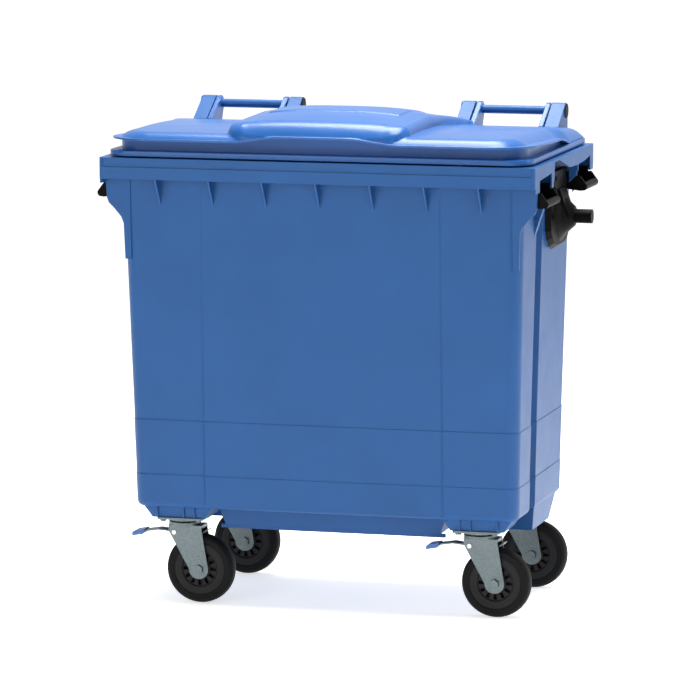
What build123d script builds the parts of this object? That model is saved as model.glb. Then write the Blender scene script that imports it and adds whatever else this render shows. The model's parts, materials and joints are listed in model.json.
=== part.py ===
from build123d import *
import os
from math import atan2, cos, hypot, pi, radians, sin, sqrt

# Four-wheeled waste container, 770 litre class, flat hinged lid.
# Millimetres. X to the container's right, -Y to the front, +Z up.
# Origin on the ground under the middle of the rim.

# ---- driving dimensions ---------------------------------------------------
RIM_HALF_X = 627.5          # rim, half of 1255
RIM_HALF_Y = 386.5          # rim, half of 773
RIM_TOP = 1290.0
SKIRT_LOW = 1230.0          # lower edge of the front and rear comb
SKIRT_T = 5.0
WALL_T = 4.2
RIM_CORNER = 10.0
FRONT_CORNER_R = 38.0
REAR_CORNER_R = 60.0

BODY_LOW = 300.0            # bottom of the straight walls
SIDE_LOW = 557.0            # half width of the body at BODY_LOW
SIDE_SLOPE = 17.0 / 691.0   # outward draft of the side walls
FRONT_LOW = -290.0
FRONT_SLOPE = -40.0 / 850.0
REAR_LOW = 315.0
REAR_SLOPE = 15.0 / 850.0
CHANNEL = (-135.0, -60.0)   # upright groove in each side wall, in y
CHANNEL_DEPTH = 20.0
CHANNEL_DRAFT = 7.0
BAND_STEPS = (380.0, 538.0)  # heights where the wall steps out slightly
BAND_STEP = 1.2
ROLL_R = 16.0               # rounding under the walls
FLOOR_UNDER = BODY_LOW - ROLL_R

TROUGH_LOW = 225.0          # underside of the low floor
FLOOR_T = 6.0
TROUGH_HALF_X = 330.0
TROUGH_HALF_Y = 200.0
CROSS_Y = (-60.0, 155.0)    # the low floor runs out to both sides here
LIP_LOW = 216.0
DRAIN_Y = -120.0
DRAIN_R = 30.0

RIB_PITCH = 155.0
RIB_T = 5.0
RIB_LOW = 1150.0

WHEEL_R = 100.0
WHEEL_W = 48.0
HUB_R = 73.0
AXLE_R = 8.0
BUSH_R = 12.0
RUNNING = 0.05              # radial clearance of a running fit
TRAIL = 50.0                # axle behind the swivel axis, towards +X
SWIVEL_X = 434.0
SWIVEL_FRONT_Y = -208.0
SWIVEL_REAR_Y = 263.0
PLATE_TOP = 250.0
PLATE_T = 6.0
PLATE_X = 135.0
PLATE_Y = 110.0
BOLT_X = 52.5
BOLT_Y = 40.0
BOLT_R = 5.0
FORK_HALF_Y = 32.0
FORK_T = 4.0
FORK_HEAD_LOW = 217.0
FORK_TOP = 231.0
BALL_RING_R = 34.0
BALL_R = 4.0
BALL_COUNT = 14

PEDAL_PIVOT = (-22.0, 205.0)  # from the swivel axis in x, height in z
PEDAL_PIN_R = 4.0

TRUNNION_Y = 89.0
TRUNNION_Z = 1110.0
TRUNNION_R = 20.0
TRUNNION_TIP = 688.0
TRUNNION_LEN = 50.0
SEAT_X = 581.0              # outer face of the pad that carries a trunnion
FLANGE_T = 16.0
SCREW_R = 4.0
TRUNNION_SCREWS = ((-108, 8), (108, 8), (-70, 112), (70, 112))  # from the pin, in y and z

HANDLE_LEN = 156.0
HANDLE_FRONT_Y = -245.0
HANDLE_REAR_Y = 258.0

HINGE_Y = 373.0
HINGE_Z = 1383.0
HINGE_R = 23.0
BAR_R = 12.5
TOWERS = ((242.0, 280.0), (507.0, 547.0))
ARMS = ((286.0, 300.0), (490.0, 503.0))
TOWER_REACH = 112.0         # no part of a tower is further from the axis
LID_CLEAR = 118.0           # lid cut-out round a tower

LID_HALF_X = 612.0
LID_FRONT = -396.0
LID_REAR = 366.0
LID_T = 3.6
BRIM_T = 6.5
BRIM_CORNER_R = 115.0
LID_REAR_R = 30.0
FRONT_LIP = 6.0             # flat lip in front of the dome, and the dome's run-up
FRONT_RUN = 40.0
BEAD_LOW = 1293.5
BEAD_TOP = 1310.0
BEAD_HALF_X = 611.0
BEAD_FRONT = -378.0
BEAD_R = 60.0
LID_WALL_X = 587.0
LID_WALL_FRONT = -345.0
LID_WALL_T = 4.0
LID_WALL_R = 60.0


# ---- helpers --------------------------------------------------------------
def box(x0, x1, y0, y1, z0, z1):
    """Box given by its limits."""
    size = (x1 - x0, y1 - y0, z1 - z0)
    middle = ((x0 + x1) / 2, (y0 + y1) / 2, (z0 + z1) / 2)
    return Pos(*middle) * Box(*size)


def prism_yz(points, x0, x1):
    """Polygon in the YZ plane, extruded from x0 to x1."""
    face = make_face(Polyline(*[(x0, y, z) for y, z in points], close=True))
    return extrude(face, amount=x1 - x0, dir=(1, 0, 0))


def prism_xz(points, y0, y1):
    """Polygon in the XZ plane, extruded from y0 to y1."""
    face = make_face(Polyline(*[(x, y0, z) for x, z in points], close=True))
    return extrude(face, amount=y1 - y0, dir=(0, 1, 0))


def rod_x(radius, x0, x1, y, z):
    return Pos((x0 + x1) / 2, y, z) * Rot(0, 90, 0) * Cylinder(radius, x1 - x0)


def rod_y(radius, y0, y1, x, z):
    return Pos(x, (y0 + y1) / 2, z) * Rot(90, 0, 0) * Cylinder(radius, y1 - y0)


def rod_z(radius, z0, z1, x, y):
    return Pos(x, y, (z0 + z1) / 2) * Cylinder(radius, z1 - z0)


def both_sides(shape):
    """The shape and its mirror image across the YZ plane."""
    return shape + mirror(shape, about=Plane.YZ)


def hexagon(across, z0, z1, x, y):
    flat = Pos(x, y, z0) * RegularPolygon(across / 2, 6, major_radius=False)
    return extrude(flat, amount=z1 - z0, dir=(0, 0, 1))


def rounded_block(half_x, half_y, radius, z0, z1):
    flat = Pos(0, 0, z0) * RectangleRounded(2 * half_x, 2 * half_y, radius)
    return extrude(flat, amount=z1 - z0, dir=(0, 0, 1))


# ---- tub ------------------------------------------------------------------
def wall_x(z):
    return SIDE_LOW + (z - BODY_LOW) * SIDE_SLOPE


def wall_front(z):
    return FRONT_LOW + (z - BODY_LOW) * FRONT_SLOPE


def wall_rear(z):
    return REAR_LOW + (z - BODY_LOW) * REAR_SLOPE


def body_section(z, inset):
    """Horizontal outline of the walls at height z, moved inwards by inset."""
    sx = wall_x(z) - inset
    front = wall_front(z) + inset
    rear = wall_rear(z) - inset
    rf = FRONT_CORNER_R - inset
    rr = REAR_CORNER_R - inset
    groove = sx - CHANNEL_DEPTH
    y0 = CHANNEL[0] - inset
    y1 = CHANNEL[1] + inset
    right = [
        (sx, y0),
        (groove, y0 + CHANNEL_DRAFT),
        (groove, y1 - CHANNEL_DRAFT),
        (sx, y1),
    ]
    left = [(-x, y) for x, y in reversed(right)]
    with BuildSketch(Plane.XY.offset(z)) as outline:
        with BuildLine():
            Line((-sx + rf, front), (sx - rf, front))
            RadiusArc((sx - rf, front), (sx, front + rf), -rf)
            Polyline((sx, front + rf), *right, (sx, rear - rr))
            RadiusArc((sx, rear - rr), (sx - rr, rear), -rr)
            Line((sx - rr, rear), (-sx + rr, rear))
            RadiusArc((-sx + rr, rear), (-sx, rear - rr), -rr)
            Polyline((-sx, rear - rr), *left, (-sx, front + rf))
            RadiusArc((-sx, front + rf), (-sx + rf, front), -rf)
        make_face()
    return outline.sketch


def body_stage(z0, inset0, z1, inset1):
    return loft([body_section(z0, inset0), body_section(z1, inset1)], ruled=True)


def outer_walls():
    """Straight walls with two faint steps and a rounded lower edge."""
    low, high = BAND_STEPS
    stages = [
        (BODY_LOW, -2 * BAND_STEP, low, -2 * BAND_STEP),
        (low, -BAND_STEP, high, -BAND_STEP),
        (high, 0.0, RIM_TOP, 0.0),
    ]
    count = 4
    for i in range(count):
        a0 = radians(90.0 * i / count)
        a1 = radians(90.0 * (i + 1) / count)
        z0 = BODY_LOW - ROLL_R * sin(a1)
        z1 = BODY_LOW - ROLL_R * sin(a0)
        inset0 = ROLL_R * (1 - cos(a1)) - 2 * BAND_STEP
        inset1 = ROLL_R * (1 - cos(a0)) - 2 * BAND_STEP
        stages.append((z0, inset0, z1, inset1))
    walls = body_stage(*stages[0])
    for stage in stages[1:]:
        walls += body_stage(*stage)
    return walls


def slab(x_low, y_low, z_low, x_high, y_high, z_high):
    """Ruled block between two rectangles; y_low and y_high are (front, rear)."""
    faces = []
    for half_x, (front, rear), z in ((x_low, y_low, z_low), (x_high, y_high, z_high)):
        middle = Pos(0, (front + rear) / 2, z)
        faces.append(middle * Rectangle(2 * half_x, rear - front))
    return loft(faces, ruled=True)


def low_floor(inset, z_low, z_top):
    """Cross-shaped well between the castor boxes."""
    centre = slab(
        TROUGH_HALF_X - 15 - inset,
        (-TROUGH_HALF_Y + 6 + inset, TROUGH_HALF_Y - 6 - inset),
        z_low,
        TROUGH_HALF_X + 15 - inset,
        (-TROUGH_HALF_Y + inset, TROUGH_HALF_Y - inset),
        z_top,
    )
    side = SIDE_LOW - 2.2 * inset
    cross = slab(
        side - 6,
        (CROSS_Y[0] + 4 + inset, CROSS_Y[1] - inset),
        z_low,
        side,
        (CROSS_Y[0] + inset, CROSS_Y[1] + 80 - inset),
        z_top,
    )
    return centre + cross


def panel_outline(z, step):
    """Section of the centre panel at height z, over a wall that stands out by step."""
    proud = 0.8 + 6.2 * (RIM_TOP - z) / (RIM_TOP - BODY_LOW)
    y = wall_front(z) - step
    points = [(-352, y + 2), (-344, y - proud)]
    points += [(-x, q) for x, q in reversed(points)]
    return make_face(Polyline(*[(x, q, z) for x, q in points], close=True))


def centre_panel():
    """Shallow raised panel on the front wall, deepest at the bottom."""
    low, high = BAND_STEPS
    stages = [
        (BODY_LOW - 6, low + 0.5, 2 * BAND_STEP),
        (low, high + 0.5, BAND_STEP),
        (high, RIM_TOP - 5, 0.0),
    ]
    panel = None
    for z0, z1, step in stages:
        part = loft([panel_outline(z0, step), panel_outline(z1, step)], ruled=True)
        panel = part if panel is None else panel + part
    return panel


def rim():
    """Top plate with the skirt that hangs from it all round."""
    ring = rounded_block(RIM_HALF_X, RIM_HALF_Y, RIM_CORNER, SKIRT_LOW, RIM_TOP)
    hollow = rounded_block(
        RIM_HALF_X - SKIRT_T,
        RIM_HALF_Y - SKIRT_T,
        RIM_CORNER - SKIRT_T,
        SKIRT_LOW - 1,
        RIM_TOP - 6,
    )
    ring -= hollow
    # the upper band of the front and rear faces is set back a little
    for side in (-1, 1):
        y = side * RIM_HALF_Y
        ring -= box(-617, 617, min(y, y - side * 2.5), max(y, y - side * 2.5), 1264, RIM_TOP)
    # openings in the side skirts: grip windows and the trunnion notch
    window_front = [(-321, 1200), (-321, 1250), (-171, 1257), (-171, 1200)]
    window_rear = [(177, 1200), (177, 1249), (260, 1252), (337, 1260), (337, 1200)]
    notch = [
        (-142, 1200),
        (-131, 1284),
        (-66, 1284),
        (10, 1265),
        (60, 1252),
        (89, 1250),
        (120, 1250),
        (169, 1248),
        (169, 1200),
    ]
    for outline in (window_front, window_rear, notch):
        ring -= both_sides(prism_yz(outline, RIM_HALF_X - SKIRT_T - 1, RIM_HALF_X + 1))
    # the corners hang lower at the sides
    corners = both_sides(box(RIM_HALF_X - SKIRT_T, RIM_HALF_X, -375, -321, 1217, SKIRT_LOW))
    corners += both_sides(box(RIM_HALF_X - SKIRT_T, RIM_HALF_X, 337, 375, 1217, SKIRT_LOW))
    strips = both_sides(box(RIM_HALF_X - SKIRT_T, RIM_HALF_X, -171, -144, 1215, SKIRT_LOW))
    return ring + corners + strips


def comb_ribs():
    """Upright ribs between the wall and the front and rear skirt."""
    ribs = []
    for i in range(-3, 4):
        x = i * RIB_PITCH
        front = [
            (wall_front(RIB_LOW) + 2.5, RIB_LOW),
            (-380, SKIRT_LOW),
            (-384, RIM_TOP - 4),
            (wall_front(RIM_TOP) + 2.5, RIM_TOP - 4),
        ]
        rear = [
            (wall_rear(RIB_LOW) - 2.5, RIB_LOW),
            (380, SKIRT_LOW),
            (384, RIM_TOP - 4),
            (wall_rear(RIM_TOP) - 2.5, RIM_TOP - 4),
        ]
        for outline in (front, rear):
            ribs.append(prism_yz(outline, x - RIB_T / 2, x + RIB_T / 2))
    return ribs


def corner_gussets():
    """Plates in line with the front wall that carry the rim's corners."""
    outline = [
        (552, 998),
        (570, 998),
        (573, 1100),
        (580, 1118),
        (600, 1142),
        (616, 1158),
        (621, 1172),
        (624, 1225),
        (624, RIM_TOP - 4),
        (552, RIM_TOP - 4),
    ]
    sheet = [
        (wall_front(990) - 1, 990),
        (wall_front(RIM_TOP) - 1, RIM_TOP),
        (wall_front(RIM_TOP) + 7, RIM_TOP),
        (wall_front(990) + 7, 990),
    ]
    plate = prism_xz(outline, -345, -300) & prism_yz(sheet, 540, 640)
    side_web = prism_xz(
        [(574, 1070), (600, 1150), (624, 1222), (624, RIM_TOP - 4), (574, RIM_TOP - 4)],
        -164,
        -140,
    )
    rear_web = prism_xz(
        [(574, 1150), (624, 1222), (624, RIM_TOP - 4), (574, RIM_TOP - 4)],
        341,
        346,
    )
    thin_web = prism_xz(
        [(601, 1196), (624, 1219), (624, RIM_TOP - 4), (601, RIM_TOP - 4)],
        170,
        176,
    )
    return [both_sides(s) for s in (plate, side_web, rear_web, thin_web)]


def castor_box(front):
    """Box under one right-hand corner: shallow ribs outside, hollow from behind."""
    if front:
        y_mid, y_out, y_back, inward = SWIVEL_FRONT_Y, FRONT_LOW + 14, -128, 1
    else:
        y_mid, y_out, y_back, inward = SWIVEL_REAR_Y, REAR_LOW - 4, 188, -1
    z_top = BODY_LOW - 3
    foot_y = y_out + inward * 14
    foot = Rectangle(155, abs(foot_y - y_back))
    head = Rectangle(217, abs(y_out - y_back))
    low = Pos(437.5, (foot_y + y_back) / 2, PLATE_TOP) * foot
    high = Pos(438.5, (y_out + y_back) / 2, z_top) * head
    block = loft([low, high], ruled=True)
    ribs = (330, 389, 420, 498, 548)
    for x0, x1 in zip(ribs[:-1], ribs[1:]):
        face = [
            (y_out - inward * 2, z_top + 5),
            (y_out - inward * 2, PLATE_TOP - 1),
            (foot_y + inward * 5, PLATE_TOP - 1),
            (y_out + inward * 9, z_top + 5),
        ]
        start = x0 - 4 if x0 == ribs[0] else x0 + 2
        end = x1 + 4 if x1 == ribs[-1] else x1 - 2
        block -= prism_yz(face, start, end)
        rear = sorted((y_back - inward, y_out + inward * 24))
        block -= box(max(x0 + 3, 368), min(x1 - 3, 508), *rear, PLATE_TOP + 10, FLOOR_UNDER)
    for dx in (-BOLT_X, BOLT_X):
        for dy in (-BOLT_Y, BOLT_Y):
            block -= rod_z(BOLT_R + 0.3, PLATE_TOP - 1, PLATE_TOP + 11, SWIVEL_X + dx, y_mid + dy)
            block -= rod_z(11, PLATE_TOP + 10, FLOOR_UNDER - 1, SWIVEL_X + dx, y_mid + dy)
    block -= rod_z(13, PLATE_TOP - 1, PLATE_TOP + 11, SWIVEL_X, y_mid)
    return both_sides(block)


def hinge_tower(x0, x1):
    """Rear bracket that carries the hinge bar, open at the back."""
    outline = [
        (HINGE_Y + HINGE_R, HINGE_Z),
        (HINGE_Y + HINGE_R, 1258),
        (HINGE_Y + 8, 1236),
        (340, 1284),
        (290, 1284),
        (240, 1328),
        (HINGE_Y - 17, HINGE_Z + 16),
    ]
    block = prism_yz(outline, x0, x1) + rod_x(HINGE_R, x0, x1, HINGE_Y, HINGE_Z)
    reach = rod_x(TOWER_REACH, x0, x1, HINGE_Y, HINGE_Z)
    foot = box(x0, x1, 330, HINGE_Y + HINGE_R, 1230, 1300)
    block = block & (reach + foot)
    pocket = prism_yz(
        [(HINGE_Y + HINGE_R + 1, HINGE_Z), (HINGE_Y + HINGE_R + 1, 1296), (312, 1296), (288, 1330), (345, HINGE_Z - 6)],
        x0 + 5,
        x1 - 5,
    )
    pocket -= rod_x(BAR_R + 7, x0, x1, HINGE_Y, HINGE_Z)
    block -= pocket
    block -= rod_x(BAR_R, x0 - 1, x1 + 1, HINGE_Y, HINGE_Z)
    return block


def tub():
    body = outer_walls() + low_floor(0, TROUGH_LOW, BODY_LOW + 4)
    body += centre_panel()
    body += rim()
    for rib in comb_ribs() + corner_gussets():
        body += rib
    body += castor_box(True)
    body += castor_box(False)
    lip = box(-TROUGH_HALF_X, TROUGH_HALF_X, -190, -184, LIP_LOW, TROUGH_LOW + 2)
    lip += box(-TROUGH_HALF_X, TROUGH_HALF_X, 184, 190, LIP_LOW, TROUGH_LOW + 2)
    body += lip
    body += both_sides(prism_yz(flange_outline(), SEAT_X - 12, SEAT_X))
    cavity = body_stage(BODY_LOW, WALL_T, RIM_TOP + 1, WALL_T)
    cavity += body_stage(FLOOR_UNDER + FLOOR_T, WALL_T + 6, BODY_LOW, WALL_T)
    body -= cavity
    body -= low_floor(FLOOR_T, TROUGH_LOW + FLOOR_T, BODY_LOW + 5)
    body -= rod_z(DRAIN_R, TROUGH_LOW - 1, TROUGH_LOW + FLOOR_T + 1, 0, DRAIN_Y)
    for x0, x1 in TOWERS:
        body += both_sides(hinge_tower(x0, x1))
    return body


# ---- drain ----------------------------------------------------------------
def drain_plug():
    plug = rod_z(40, 217, 223, 0, DRAIN_Y)
    plug += rod_z(DRAIN_R - 0.3, 223, 236, 0, DRAIN_Y)
    plug += box(-36, 36, DRAIN_Y - 6, DRAIN_Y + 6, TROUGH_LOW + FLOOR_T + 0.4, 236)
    plug += box(-28, 28, DRAIN_Y - 4, DRAIN_Y + 4, 209, 217)
    return plug


def drain_seal():
    ring = rod_z(38, 223, TROUGH_LOW, 0, DRAIN_Y)
    return ring - rod_z(DRAIN_R + 1, 222, TROUGH_LOW + 1, 0, DRAIN_Y)


# ---- trunnions and side handles -------------------------------------------
def flange_outline(inset=0):
    """Outline of the trunnion flange in (y, z)."""
    right = [
        (50, 1019 + inset),
        (90 - inset / 2, 1029 + inset),
        (120 - inset, 1052 + inset / 2),
        (137 - inset, 1078),
        (137 - inset, 1146 - inset / 2),
        (66, 1182 - inset / 2),
        (66, 1192),
        (88, 1202),
        (88, 1242),
    ]
    left = [(-y, z) for y, z in reversed(right)]
    return [(TRUNNION_Y + y, z) for y, z in right + left]


def flange_face(x, inset):
    return make_face(Polyline(*[(x, y, z) for y, z in flange_outline(inset)], close=True))


def trunnion_cone(trim):
    """Cone that carries the pin, made smaller by trim for its hollow."""
    face = SEAT_X + FLANGE_T
    base = Plane(origin=(face, TRUNNION_Y, TRUNNION_Z), z_dir=(1, 0, 0))
    length = TRUNNION_TIP - TRUNNION_LEN - face
    sections = [
        base.offset(-5 - trim) * Circle(80 - trim),
        base.offset(length * 0.3 - trim) * Circle(54 - trim),
        base.offset(length - trim) * Circle(28 - trim),
    ]
    return loft(sections, ruled=True)


def trunnion():
    """Right-hand lifting trunnion with its wall flange, cone and upper web."""
    face = SEAT_X + FLANGE_T
    body = loft([flange_face(SEAT_X, 0), flange_face(face, 12)], ruled=True)
    body += trunnion_cone(0)
    web = [
        (face - 4, 1190),
        (face + 5, 1190),
        (610, 1166),
        (617, 1145),
        (627, 1123),
        (630, 1110),
        (face - 4, 1110),
    ]
    body += prism_xz(web, TRUNNION_Y - 42, TRUNNION_Y + 42)
    hollow = Plane(origin=(SEAT_X - 1, TRUNNION_Y, TRUNNION_Z), z_dir=(1, 0, 0))
    body -= extrude(hollow * Circle(66), amount=14) + trunnion_cone(7)
    body += rod_x(TRUNNION_R, SEAT_X + 1, TRUNNION_TIP, TRUNNION_Y, TRUNNION_Z)
    for dy, dz in TRUNNION_SCREWS:
        y = TRUNNION_Y + dy
        z = TRUNNION_Z + dz
        body -= rod_x(SCREW_R + 0.2, SEAT_X - 1, face + 1, y, z)
        body -= rod_x(9, SEAT_X + 7, face + 1, y, z)
    return body


def trunnion_screws():
    """Flange-head screws, sunk in both trunnions, that hold them to the walls."""
    seat = SEAT_X + 7
    screws = []
    for dy, dz in TRUNNION_SCREWS:
        y = TRUNNION_Y + dy
        z = TRUNNION_Z + dz
        screw = rod_x(SCREW_R, SEAT_X, seat + 1, y, z)
        screw += rod_x(8, seat, seat + 2, y, z)
        head = Plane(origin=(seat + 1, y, z), z_dir=(1, 0, 0)) * RegularPolygon(6.5, 6)
        screw += extrude(head, amount=5)
        screws.append(screw)
    left = [mirror(s, about=Plane.YZ) for s in screws]
    return Compound(children=screws + left)


def side_handle(y):
    """Right-hand scoop grip that fills the window in the side skirt."""
    half = HANDLE_LEN / 2
    shell = prism_xz(
        [(590, 1228), (590, 1177), (636, 1172), (650, 1190), (632, 1214.5), (622, 1214.5), (622, 1228)],
        y - half,
        y + half,
    )
    pocket = prism_xz(
        [(595, 1240), (595, 1183), (632, 1178), (660, 1182), (660, 1240)],
        y - half + 6,
        y + half - 6,
    )
    lip = rod_y(11, y - half, y + half, 641, 1184)
    return shell - pocket + lip


# ---- hinge bars -----------------------------------------------------------
def hinge_bar():
    return rod_x(BAR_R, TOWERS[0][0] + 2, TOWERS[1][1] - 2, HINGE_Y, HINGE_Z)


def hinge_caps():
    """Round caps over both ends of both bars."""
    caps = []
    for x0, x1 in ((TOWERS[0][0] - 3, TOWERS[0][0]), (TOWERS[1][1], TOWERS[1][1] + 3)):
        cap = rod_x(21, x0, x1, HINGE_Y, HINGE_Z)
        caps.append(cap)
        caps.append(mirror(cap, about=Plane.YZ))
    return Compound(children=caps)


# ---- lid ------------------------------------------------------------------
def blend(a, b, t):
    """Smooth step from a to b as t goes from 0 to 1."""
    t = max(0.0, min(1.0, t))
    return a + (b - a) * t * t * (3 - 2 * t)


def brim_low(y):
    """Height of the brim's lower edge along the sides."""
    if y < 15:
        return blend(1339.5, 1330, (y + 340) / 355)
    return blend(1330, 1308, (y - 15) / 165)


def panel_rise(x, y):
    """How far the dome has risen from the lip: 0 at the lip, 1 on the flat top."""
    lip = blend(28, 8, (y - 60) / 110)
    run = blend(62, 46, (y - 60) / 110)
    inwards = LID_HALF_X - abs(x)
    ahead = LID_FRONT + BRIM_CORNER_R - y
    if ahead > 0:
        beside = max(0.0, BRIM_CORNER_R - inwards)
        turn = atan2(ahead, beside) / (pi / 2)
        inwards = BRIM_CORNER_R - hypot(ahead, beside)
        lip += (FRONT_LIP - lip) * turn
        run += (FRONT_RUN - run) * turn
    t = max(0.0, min(1.0, (inwards - lip) / run))
    return 1 - (1 - t) ** 2.4


def panel_top(x, y):
    """Height of the lid's outer panels: a long crown that falls to the brim."""
    crown = 1367 - 29 * ((y + 180) / 510) ** 2
    edge = brim_low(y) + blend(BRIM_T, 2, (y - 60) / 120)
    z = edge + (crown - edge) * panel_rise(x, y)
    if y > 320:
        low = 1306 - 4
        z = low + (z - low) * sqrt(max(0.0, 1 - ((y - 320) / 50) ** 2))
    return z


def panel_section(y, half_x, low, drop):
    """Section of the outer panels across X: flat bottom at low, top lowered by drop."""
    top = [(half_x - d, y) for d in (0, 6, 14, 24, 34, 48, 66, 90)]
    top = [(x, panel_top(x, y) - drop) for x, y in top]
    points = [(half_x, min(low, top[0][1] - 3))] + top
    points += [(-x, z) for x, z in reversed(points)]
    return make_face(Polyline(*[(x, y, z) for x, z in points], close=True))


def bonnet_edge(y):
    """Height of the shoulder along the raised middle of the lid."""
    if y < -320:
        return 1394 - 32 * ((-320 - y) / 70) ** 2.6
    if y < -46:
        return 1394 + (y + 320) * 6 / 274
    return 1400 - 54 * ((y + 46) / 412) ** 1.35


def bonnet_crest(y):
    """Height of the middle of the bonnet."""
    rise = 22 * (1 - ((y + 150) / 420) ** 2)
    if y < -250:
        rise = 20.8 * max(0.0, (y + 386) / 136) ** 0.6
    return bonnet_edge(y) + max(0.0, rise)


def bonnet_section(y, drop):
    edge = bonnet_edge(y) - drop
    crest = bonnet_crest(y) - drop
    foot = panel_top(250, y) - 6 - drop
    spread = blend(0, 36, (y - 20) / 240)
    points = [
        (257 + spread - drop, min(foot, edge - 14)),
        (254 + spread * 0.9 - drop, edge - 12),
        (247 + spread * 0.8 - drop, edge - 4),
        (232 + spread * 0.6 - drop, edge + 1),
        (188, edge + (crest - edge) * 0.62),
        (90, edge + (crest - edge) * 0.92),
    ]
    points += [(-x, z) for x, z in reversed(points)]
    return make_face(Polyline(*[(x, y, z) for x, z in points], close=True))


def pull_edge():
    """Lower line of the front brim, which lifts in the middle to give a grip."""
    low = []
    count = 8
    for i in range(-count, count + 1):
        x = 248 * i / count
        low.append((x, blend(1339.5, 1355, (248 - abs(x)) / 158)))
    return low


def plan_block(half_x, front, radius, z0, z1):
    """Tall block with two rounded front corners that runs out past the rear."""
    half_y = 450
    return Pos(0, front + half_y, 0) * rounded_block(half_x, half_y, radius, z0, z1)


def lid_bead():
    """Flat bead round the foot of the lid, with a rim turned down over the tub."""
    flat = plan_block(BEAD_HALF_X, BEAD_FRONT, BEAD_R, BEAD_TOP - 4, BEAD_TOP)
    edge = plan_block(BEAD_HALF_X, BEAD_FRONT, BEAD_R, BEAD_LOW, BEAD_TOP - 3)
    edge -= plan_block(BEAD_HALF_X - 5, BEAD_FRONT + 5, BEAD_R - 5, BEAD_LOW - 1, BEAD_TOP - 2)
    return (flat + edge) & box(-620, 620, -400, LID_REAR, BEAD_LOW, BEAD_TOP)


def lid_panels():
    """Solid brim and outer panels over the upright wall of the lid."""
    rows = [-396, -390, -384, -376, -366, -356, -346, -330, -310, -280, -200, -90]
    rows += [15, 60, 100, 140, 180, 250, 320, 340, 355, LID_REAR]
    half = [LID_HALF_X - blend(0, 6, (y - 60) / 120) for y in rows]
    brim = loft([panel_section(y, x, brim_low(y), 0) for x, y in zip(half, rows)], ruled=True)
    brim &= plan_block(LID_HALF_X, LID_FRONT, BRIM_CORNER_R, 1280, 1450)
    core_rows = [LID_WALL_FRONT] + rows[7:]
    core = loft([panel_section(y, LID_WALL_X, BEAD_LOW, 0) for y in core_rows], ruled=True)
    core &= plan_block(LID_WALL_X, LID_WALL_FRONT, LID_WALL_R, 1280, 1450)
    return brim + core


def lid_cavity():
    """Hollow under the outer panels and the bonnet."""
    half_x = LID_WALL_X - LID_WALL_T
    front = LID_WALL_FRONT + LID_WALL_T
    rows = [front, -326, -306, -277, -200, -90]
    rows += [15, 60, 100, 140, 180, 250, 320, 340, 355, LID_REAR - 5]
    low = BEAD_LOW - 5
    hollow = loft([panel_section(y, half_x, low, LID_T) for y in rows], ruled=True)
    hollow &= plan_block(half_x, front, LID_WALL_R - LID_WALL_T, 1280, 1450)
    under = [-333, -320, -250, -150, -46, 60, 150, 247, 320, 345]
    return hollow + loft([bonnet_section(y, LID_T + 1) for y in under], ruled=True)


def lid_arm(x0, x1):
    outline = [
        (HINGE_Y + HINGE_R - 3, HINGE_Z - 6),
        (HINGE_Y - 2, 1328),
        (262, 1322),
        (262, 1345),
        (HINGE_Y - 17, HINGE_Z + 16),
    ]
    arm = prism_yz(outline, x0, x1) + rod_x(HINGE_R, x0, x1, HINGE_Y, HINGE_Z)
    return arm - rod_x(BAR_R + RUNNING, x0 - 1, x1 + 1, HINGE_Y, HINGE_Z)


def lid():
    ridge = [-388, -384, -376, -366, -352, -320, -250, -150, -46, 60, 150, 247, 320, 352]
    shell = lid_panels() + loft([bonnet_section(y, 0) for y in ridge], ruled=True)
    shell += lid_bead()
    shell &= Pos(0, LID_REAR - 450, 0) * rounded_block(LID_HALF_X + 1, 450, LID_REAR_R, 1280, 1450)
    low = pull_edge()
    recess = [(-247, 1330)] + low[1:-1] + [(247, 1330)]
    shell -= prism_xz(recess, LID_FRONT - 1, LID_WALL_FRONT)
    high = [(x, z + BRIM_T) for x, z in reversed(low)]
    shell += prism_xz(low + high, LID_FRONT, LID_WALL_FRONT + 3)
    shell -= lid_cavity()
    for x0, x1 in TOWERS:
        slot = rod_x(LID_CLEAR, x0 - 6, x1 + 6, HINGE_Y, HINGE_Z)
        shell -= both_sides(slot)
    for x0, x1 in ARMS:
        shell += both_sides(lid_arm(x0, x1))
    return shell


# ---- castors --------------------------------------------------------------
def castor_plate(x, y):
    plate = Pos(x, y, PLATE_TOP - PLATE_T) * RectangleRounded(PLATE_X, PLATE_Y, 8)
    plate = extrude(plate, amount=PLATE_T, dir=(0, 0, 1))
    plate += rod_z(47, PLATE_TOP - PLATE_T - 5, PLATE_TOP - PLATE_T, x, y)
    ring = Pos(x, y, PLATE_TOP - PLATE_T - 5.5) * Torus(BALL_RING_R, BALL_R + 0.3)
    plate -= ring
    plate -= rod_z(9, PLATE_TOP - PLATE_T - 6, PLATE_TOP + 1, x, y)
    for dx in (-BOLT_X, BOLT_X):
        for dy in (-BOLT_Y, BOLT_Y):
            plate -= rod_z(BOLT_R + 0.3, PLATE_TOP - PLATE_T - 1, PLATE_TOP + 1, x + dx, y + dy)
    return plate


def castor_bolts():
    bolts = []
    for x, y in castor_places():
        for dx in (-BOLT_X, BOLT_X):
            for dy in (-BOLT_Y, BOLT_Y):
                bolt = rod_z(BOLT_R, PLATE_TOP - PLATE_T - 1, PLATE_TOP + 22, x + dx, y + dy)
                head_top = PLATE_TOP - PLATE_T
                bolt += hexagon(16, head_top - 6, head_top, x + dx, y + dy)
                bolts.append(bolt)
    return Compound(children=bolts)


def castor_nuts():
    nuts = []
    for x, y in castor_places():
        for dx in (-BOLT_X, BOLT_X):
            for dy in (-BOLT_Y, BOLT_Y):
                nut = hexagon(16, PLATE_TOP + 10, PLATE_TOP + 18, x + dx, y + dy)
                nut -= rod_z(BOLT_R, PLATE_TOP + 9, PLATE_TOP + 19, x + dx, y + dy)
                nuts.append(nut)
    return Compound(children=nuts)


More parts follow.
